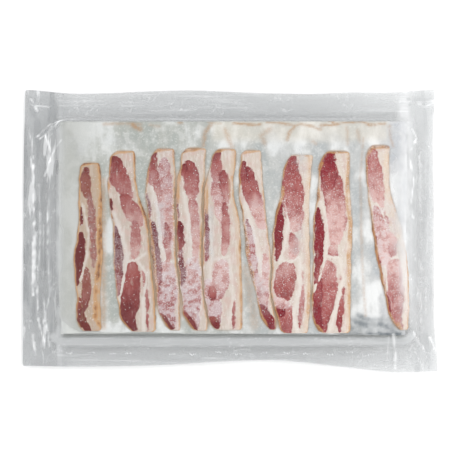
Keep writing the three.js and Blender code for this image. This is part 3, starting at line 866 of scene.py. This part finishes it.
# Frost crystals
# Grains of ice and trapped air that stand on the meat just under the film, thickest on the last
# rasher. Each is a small rounded lump, scattered over the rashers' own outlines.
CRYSTALS = 150
CRYSTALS_INSET_Y = 8
CRYSTALS_INSET_X = 0.12
CRYSTAL_RISE = 0.12
CRYSTAL_SIZE = (0.8, 1.0, 0.3)
CRYSTALS_SHARE = [1.2, 0.8, 1.0, 1.0, 1.0, 1.0, 1.0, 0.8, 1.9]


def crystal_places():
    """Places drawn at random on every rasher, a little below the skin."""
    draw = np.random.default_rng(11)
    places = []
    for index, node in enumerate(rasher_nodes):
        low, high = (np.array(corner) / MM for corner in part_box(node))
        amount = int(CRYSTALS * CRYSTALS_SHARE[index])
        y = draw.uniform(low[1] + CRYSTALS_INSET_Y, high[1] - CRYSTALS_INSET_Y, amount)
        left, right = edge_at(node, 1, y)
        x = left + (right - left) * draw.uniform(CRYSTALS_INSET_X, 1 - CRYSTALS_INSET_X, len(y))
        level = read_map(skin, x, y) - RASHER_UNDER_SKIN - CRYSTAL_RISE
        places += np.stack([x, y, level], axis=1).tolist()
    return places


ice = Recipe("frost_crystals")
cloudy = ice.noise(1.2, 2)
ice_tone = ice.mix(cloudy, shade(214, 208, 204), shade(240, 237, 233))
crystals = scattered("frost_crystals", crystal_places(), CRYSTAL_SIZE,
                     ice.coated(ice_tone, 0.3, ice.bump(cloudy, 0.1)),
                     turn=6.28, least=0.3, seed=5, wave=0.6)
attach(crystals, "root")
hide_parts(*rasher_nodes)

# The clear film
# Two thin clear films, drawn together by vacuum and welded round the rim. The upper one clings to
# the rashers and hangs in a slope from the stack to the flange, with folds at its corners.
FILM_STEP = 1.65
FILM_BASE_EVERY = 6
FILM_GAP = 0.5
RIM_CORNER = 7.0
FILM_UNDER_TOP = 0.4
SLACK_WIDE = 0.3
SLACK_FINE = 0.15
SLACK_SIDE = 0.45
SLACK_END = 0.2
# Between which levels the film passes from its slope to the food and from its flange to the slope,
# where the near face and the long sides begin, and how thick the pack is where its wall begins.
FOOD_FROM = (26, 36)
SLOPE_FROM = (9.5, 14)
NEAR_FACE_Y = (-126, -132)
ALONG_SIDE = (2, -6)
WALL_FROM = (2.5, 7)

# Folds that stand up in the film, in millimetres from the sheet's middle: how high, how wide and
# their course. Those at the left and right run along the wall and the flange, and the rest pucker
# the corners and the far rim.
film_folds = [
    (1.6, 1.6, [(-245, 96), (-243.5, 20), (-244.5, -78)]),
    (1.4, 1.3, [(-230, 121), (-222, 95), (-231, 70)]), (2.0, 2.6, [(-243, 0), (-244, -66)]),
    (1.1, 1.3, [(-222, 95), (-210, 110)]), (0.8, 1.5, [(-238, 60), (-236, 0), (-239, -60)]),
    (0.8, 1.5, [(-226, 40), (-227, -20), (-224, -80)]), (0.7, 1.3, [(-232, 10), (-233, -90)]),
    (1.4, 1.3, [(-240, 121), (-224, 136), (-206, 137)]),
    (1.2, 1.2, [(-237, 118), (-210, 137), (-194, 140)]),
    (1.1, 1.5, [(-232, -83), (-228, -118), (-224, -142)]), (0.9, 1.3, [(-222, -71), (-232, -114)]),
    (1.2, 1.4, [(-240, -60), (-238, -110), (-230, -140)]), (1.8, 1.5, [(-245, -127), (-241, -152)]),
    (1.6, 1.5, [(-248, 168), (-240, 153)]), (1.5, 1.3, [(-247, 160), (-226, 158)]),
    (1.5, 1.3, [(211, 141), (226, 118), (216, 93)]), (1.1, 1.3, [(205, 137), (216, 106), (211, 56)]),
    (1.4, 1.5, [(214, 105), (222, 62), (216, 15)]), (1.2, 1.4, [(219, 24), (222, 10)]),
    (1.2, 1.4, [(222, -30), (224, -37)]), (0.8, 1.3, [(229, 105), (231, 20), (230, -122)]),
    (0.7, 1.2, [(236, 90), (238, 0), (236, -110)]), (0.6, 1.2, [(242, 70), (243, -60)]),
    (1.6, 1.5, [(221, -127), (228, -140)]), (1.8, 1.5, [(241, -131), (248, -148)]),
    (1.4, 1.2, [(231, -140), (238, -159)]), (1.2, 1.2, [(224, -150), (232, -170)]),
    (1.8, 1.6, [(204, 165), (228, 164), (250, 166)]), (2.0, 1.6, [(224, 163), (236, 159), (249, 163)]),
    (1.3, 2.0, [(196, -133), (199, -150), (198, -170)]), (0.8, 1.6, [(190, -136), (188, -168)]),
    (0.5, 1.2, [(-180, 158), (-90, 160), (0, 157)]), (0.5, 1.2, [(-40, 151), (60, 153), (150, 150)]),
]
FOLD_GLINT = 0.75
# How milky the film is and how much it darkens what is under it, from place to place. Painted light
# and shade: the darkening is heavier on the left and lighter on the right, and the extra milk on the
# slopes and near face partly paints light where the stack would shade them.
MILK_ON_FOOD = 0.01
MILK_OFF_FOOD = 0.2
MILK_ON_SLOPE = 0.16
MILK_NEAR = 0.3
TINT = 0.46
TINT_SHADE_LEFT = 0.42
TINT_LIGHT_RIGHT = 0.36
TINT_NEAR = 0.35
# The lower film's milk, tint and painted glint, the haze over the sheet's left edge and the painted
# highlight that the film catches over its right edge.
UNDER_HAZE = (0.12, 0.4, 0)
LEFT_HAZE = 0.4
LEFT_HAZE_WIDTH = 6
RIGHT_GLINT = 0.5
RIGHT_GLINT_WIDTH = 9
# Painted glare: soft reflections of the studio lamps, laid on the film as milky patches, given the
# same way.
film_glare = [
    (0.3, 9.0, [(-207, 114), (-187, 98)]), (0.32, 9.0, [(44, 120), (60, 92)]),
    (0.3, 8.0, [(148, 96), (152, 8)]), (0.45, 9.0, [(197, 122), (203, 40), (207, -30)]),
    (0.34, 6.0, [(82, 98), (86, 72)]), (0.32, 3.6, [(-27, 22), (-25, -42)]),
    (0.3, 4.0, [(-90, 30), (-86, -10)]), (0.22, 5.0, [(33, -70), (40, -105)]),
    (0.25, 7.0, [(-150, 110), (-120, 104)]), (0.3, 7.0, [(104, 122), (128, 112)]),
    (0.3, 5.0, [(82, 0), (78, -30)]),
]


def closed_film(x, y, top, under):
    """Points and faces of a closed mesh with a fine upper face and a coarser lower one."""
    rows, columns = x.shape
    grid = np.arange(x.size).reshape(x.shape)
    every = np.unique(np.r_[np.arange(0, rows, FILM_BASE_EVERY), rows - 1])
    across = np.unique(np.r_[np.arange(0, columns, FILM_BASE_EVERY), columns - 1])
    points = [np.stack([x.ravel(), y.ravel(), top.ravel()], axis=1)]
    below = grid.copy()
    count = x.size
    for r in every[1:-1]:
        for c in across[1:-1]:
            points.append(np.array([[x[r, c], y[r, c], under[r, c]]]))
            below[r, c] = count
            count += 1
    faces = squares(grid).tolist()
    for r0, r1 in zip(every[:-1], every[1:]):
        for c0, c1 in zip(across[:-1], across[1:]):
            near = grid[r0, c0 + 1:c1].tolist() if r0 == 0 else []
            far = grid[r1, c0 + 1:c1].tolist() if r1 == rows - 1 else []
            left = grid[r0 + 1:r1, c0].tolist() if c0 == 0 else []
            right = grid[r0 + 1:r1, c1].tolist() if c1 == columns - 1 else []
            ring = [below[r0, c0], *near, below[r0, c1], *right, below[r1, c1], *far[::-1],
                    below[r1, c0], *left[::-1]]
            faces.append([int(i) for i in ring[::-1]])
    return np.concatenate(points), faces


def film_bag():
    """The two films as one closed mesh, painted with its milk, darkening, painted glare and glints."""
    x, y = fitted_grid("bag", FILM_STEP, RIM_CORNER)
    top = read_map(skin, x, y)
    under = read_map(belly, x, y)
    on_food = step(*FOOD_FROM, top)
    beside = np.minimum(x - sheet_low[0], sheet_high[0] - x)
    along_side = step(*ALONG_SIDE, beside)
    slack = SLACK_WIDE * grain(x, y, 11, 21) + SLACK_FINE * grain(x, y, 4, 22)
    slack = slack + along_side * SLACK_SIDE * grain(x, y / 7, 4.5, 23)
    slack = slack + (1 - along_side) * SLACK_END * grain(x / 9, y, 3.4, 24)
    folds = stroke_field(x - mid_x, y - mid_y, film_folds, 0.7)
    top = top + slack * (1 - on_food) + folds * (1 - 0.6 * on_food)
    top = np.minimum(top, cad_box[1][2] / MM - FILM_UNDER_TOP)
    thick = step(*WALL_FROM, top - under)
    under = (top - FILM_GAP) * (1 - thick) + np.maximum(under, 0.05) * thick
    piece = mesh_piece("film_bag", *closed_film(x, y, top, under))
    off_food = 1 - on_food
    slope = off_food * step(*SLOPE_FROM, top)
    near_face = slope * step(*NEAR_FACE_Y, y - mid_y)
    left_edge = np.exp(-(((x - sheet_low[0] - 1) / LEFT_HAZE_WIDTH) ** 2))
    left_edge = left_edge * (1 + 0.6 * grain(x, y, 14, 33))
    right_edge = np.exp(-(((sheet_high[0] - x - 2) / RIGHT_GLINT_WIDTH) ** 2))
    right_edge = right_edge * (1 + 0.5 * grain(x, y, 12, 34))
    # The extra milk on the slopes and near face also paints light where the stack shades them.
    milk = MILK_ON_FOOD + MILK_OFF_FOOD * off_food + MILK_ON_SLOPE * slope + MILK_NEAR * near_face
    # Painted glare, laid on as milk.
    clouds = stroke_field(x - mid_x, y - mid_y, film_glare, 2.5) * (0.7 + 0.5 * grain(x, y, 9, 35))
    milk = np.clip(np.maximum.reduce([milk, LEFT_HAZE * left_edge, clouds]), 0, 1)
    # Painted light and shade: the film darkens the left flange more and the right less.
    tint = TINT + TINT_SHADE_LEFT * step(-195, -225, x - mid_x) - TINT_LIGHT_RIGHT * step(60, 200, x - mid_x)
    tint = np.clip(off_food * tint + TINT_NEAR * near_face, 0, 1)
    # Painted highlights along the folds, and over the sheet's right edge, fading out at the near end.
    glint = FOLD_GLINT * np.clip(folds - 0.35, 0, 1) * (0.6 + 0.6 * grain(x, y, 6, 31))
    right_glint = RIGHT_GLINT * np.clip(right_edge, 0, 1)
    glint = np.maximum(glint, right_glint * step(-150, -60, y - mid_y))
    channels = np.zeros((len(piece.data.vertices), 3))
    channels[x.size:] = UNDER_HAZE
    channels[: x.size] = np.stack([milk.ravel(), tint.ravel(), np.clip(glint, 0, 1).ravel()], axis=1)
    paint(piece, "haze", *channels.T)
    # Where the painted streaks and dark bands of the slopes go, weaker on the right.
    streaked = along_side * off_food * (1 - 0.6 * step(0, 200, x - mid_x))
    paint(piece, "zone", streaked, (1 - along_side) * off_food, on_food)
    return piece


film_piece = film_bag()
film = Recipe("clear_film")
milk_share, tint, glint = film.layer("haze")
ripple = film.noise(13, 4)
crinkle = film.noise(3, 3)
side_zone, end_zone, food_zone = film.layer("zone")
upright = film.noise(8, 3, (1, 0.14, 0.3))
level_lines = film.noise(4, 3, (0.06, 1, 0.3))
crinkle_glint_patches = film.noise(42, 2)
wrinkle = film.noise(13, 4)
normal = film.bump(crinkle, 0.06, film.bump(ripple, 0.5))
# Painted glints: thin white crinkle lines across the film, sparse, and weaker over the food.
off_line = film.add("Math", {0: wrinkle, 1: 0.5}, operation="SUBTRACT")
off_line = film.add("Math", {0: off_line}, operation="ABSOLUTE")
crinkle_glints = film.ramp(off_line, 0.001, 0.012, 1, 0)
crinkle_glints = film.times(crinkle_glints, film.ramp(crinkle_glint_patches, 0.46, 0.6, 0.03, 0.38))
crinkle_glints = film.times(crinkle_glints, film.ramp(food_zone, 0, 1, 1, 0.2))
# Painted highlights and shade: bright streaks and dark bands that stand for reflections, upright along
# the long sides and level along the ends.
side_glint_streaks = film.times(side_zone, film.ramp(upright, 0.58, 0.66, 0, 0.42))
end_glint_lines = film.times(end_zone, film.ramp(level_lines, 0.55, 0.68, 0, 0.16))
glint = film.plus(film.plus(glint, crinkle_glints), film.plus(side_glint_streaks, end_glint_lines))
painted_dark_bands = film.times(side_zone, film.ramp(upright, 0.46, 0.36, 0, 0.35))
painted_dark_bands = film.plus(painted_dark_bands, film.times(end_zone, film.ramp(level_lines, 0.46, 0.34, 0, 0.1)))
bare_film = (0.985, 0.987, 0.987, 1)
greyed_film = (0.71, 0.715, 0.72, 1)
shaded_film = (0.55, 0.56, 0.57, 1)
clear_tone = film.mix(tint, bare_film, greyed_film)
clear_tone = film.mix(painted_dark_bands, clear_tone, shaded_film)
clear = film.add("BsdfTransparent", {"Color": clear_tone})
gloss = film.add("BsdfAnisotropic", {"Color": (1, 1, 1, 1), "Roughness": 0.2, "Normal": normal})
milk_tone = film.mix(painted_dark_bands, shade(220, 222, 223), shade(160, 163, 166))
milky = film.add("BsdfDiffuse", {"Color": milk_tone})
facing = film.add("LayerWeight", {"Blend": 0.16, "Normal": normal})
front = film.add("NewGeometry", {}, output=6)
shine = film.add("Math", {0: facing, 1: front}, operation="SUBTRACT", use_clamp=True)
shiny = film.add("MixShader", {0: shine, 1: clear, 2: gloss})
hazy = film.add("MixShader", {0: milk_share, 1: shiny, 2: milky})
# Painted glints: a plain bright white laid over the film.
painted_glint_white = film.add("BsdfDiffuse", {"Color": shade(250, 251, 252)})
film_piece.data.materials.append(film.finish(film.add("MixShader", {0: glint, 1: hazy, 2: painted_glint_white})))
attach(film_piece, "root")
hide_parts("bag")

# The seal's ticks
# Rows of short raised marks that the sealing bar pressed into the weld along the near side.
# They stand a little proud of the upper film, painted near white as the glints they catch.
TICK_SIZE = (1.1, 2.4, 0.6)
TICK_PITCH = 2.1
TICKS_FROM_MIDDLE_Y = -151
TICKS_IN_GROUP = 4
GROUP_WANDER = 1.5
TICK_WANDER = 0.8
TICK_RISE = 0.35
tick_groups_x = [-200, -173, -147, -128, -74, -49, -18, 7, 38, 66, 90, 119, 143, 169]


def tick_places():
    """A few places for every group, in a short row along the seal, on top of the film."""
    draw = np.random.default_rng(23)
    places = []
    for group in tick_groups_x:
        shift = draw.uniform(-GROUP_WANDER, GROUP_WANDER)
        for k in range(TICKS_IN_GROUP):
            x = mid_x + group + TICK_PITCH * (k - (TICKS_IN_GROUP - 1) / 2)
            y = mid_y + TICKS_FROM_MIDDLE_Y + shift + draw.uniform(-TICK_WANDER, TICK_WANDER)
            places.append((x, y, float(read_map(skin, x, y)) + TICK_RISE))
    return places


weld = Recipe("welded_film")
pressed = weld.noise(1.5, 2)
tick_glint_tone = weld.mix(pressed, shade(224, 226, 227), shade(246, 247, 248))
ticks = scattered("seal_ticks", tick_places(), TICK_SIZE,
                  weld.coated(tick_glint_tone, 0.25, weld.bump(pressed, 0.08)),
                  turn=0.5, least=0.5, seed=9, wave=0.4)
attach(ticks, "root")
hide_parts("bag")

# The floor, the light and the camera
# A pale floor under soft studio light from above, seen a little from the near side.
FLOOR_SIDE = 6000
FLOOR_LEVEL = -0.4
SKY_STRENGTH = 0.8
floor_corners = [(FLOOR_SIDE * across, FLOOR_SIDE * away, FLOOR_LEVEL)
                 for across, away in ((-1, -1), (1, -1), (1, 1), (-1, 1))]
floor = mesh_piece("floor", floor_corners, [(0, 1, 2, 3)], smooth=False)
ground = Recipe("pale_floor")
soft = ground.noise(300, 2)
floor.data.materials.append(ground.finish(ground.add("BsdfPrincipled", {
    "Base Color": ground.mix(soft, shade(253, 253, 253), shade(255, 255, 255)), "Roughness": 0.9})))

world = bpy.data.worlds.new("studio")
bpy.context.scene.world = world
world.use_nodes = True
world.node_tree.nodes["Background"].inputs[0].default_value = (1, 1, 1, 1)
world.node_tree.nodes["Background"].inputs[1].default_value = SKY_STRENGTH


def softbox(name, place, aim, size, power):
    """A rectangular lamp at a place in metres, facing what it aims at."""
    light = bpy.data.lights.new(name, "AREA")
    light.shape = "RECTANGLE"
    light.size, light.size_y = size
    light.energy = power
    lamp = bpy.data.objects.new(name, light)
    lamp.location = place
    lamp.rotation_euler = (Vector(aim) - Vector(place)).to_track_quat("-Z", "Y").to_euler()
    bpy.context.scene.collection.objects.link(lamp)


softbox("key", (0.7, -0.8, 1.9), (0, 0, 0), (1.1, 1.1), 12)
softbox("far_fill", (-0.2, 1.5, 1.2), (0, 0.1, 0), (1.6, 0.4), 4)
softbox("left_strip", (-1.2, 0.1, 0.55), (-0.2, 0, 0), (0.15, 0.9), 3)
softbox("right_strip", (1.2, 0.2, 0.6), (0.2, 0, 0), (0.15, 0.9), 3)

CAMERA_ELEVATION = 78
CAMERA_DISTANCE = 12.0
VIEW_WIDTH = 564.4
VIEW_MIDDLE = (-0.4, 1.6)
SENSOR_WIDTH = 36
camera = bpy.data.cameras.new("camera")
camera.sensor_width = SENSOR_WIDTH
camera.lens = SENSOR_WIDTH * CAMERA_DISTANCE / (VIEW_WIDTH * MM)
camera.clip_end = 20
viewer = bpy.data.objects.new("camera", camera)
bpy.context.scene.collection.objects.link(viewer)
aim = Vector((VIEW_MIDDLE[0] * MM, VIEW_MIDDLE[1] * MM, 0.0))
tilt = math.radians(CAMERA_ELEVATION)
viewer.location = aim + Vector((0, -math.cos(tilt), math.sin(tilt))) * CAMERA_DISTANCE
viewer.rotation_euler = (aim - viewer.location).to_track_quat("-Z", "Y").to_euler()
bpy.context.scene.camera = viewer
bpy.context.scene.view_settings.view_transform = "Standard"
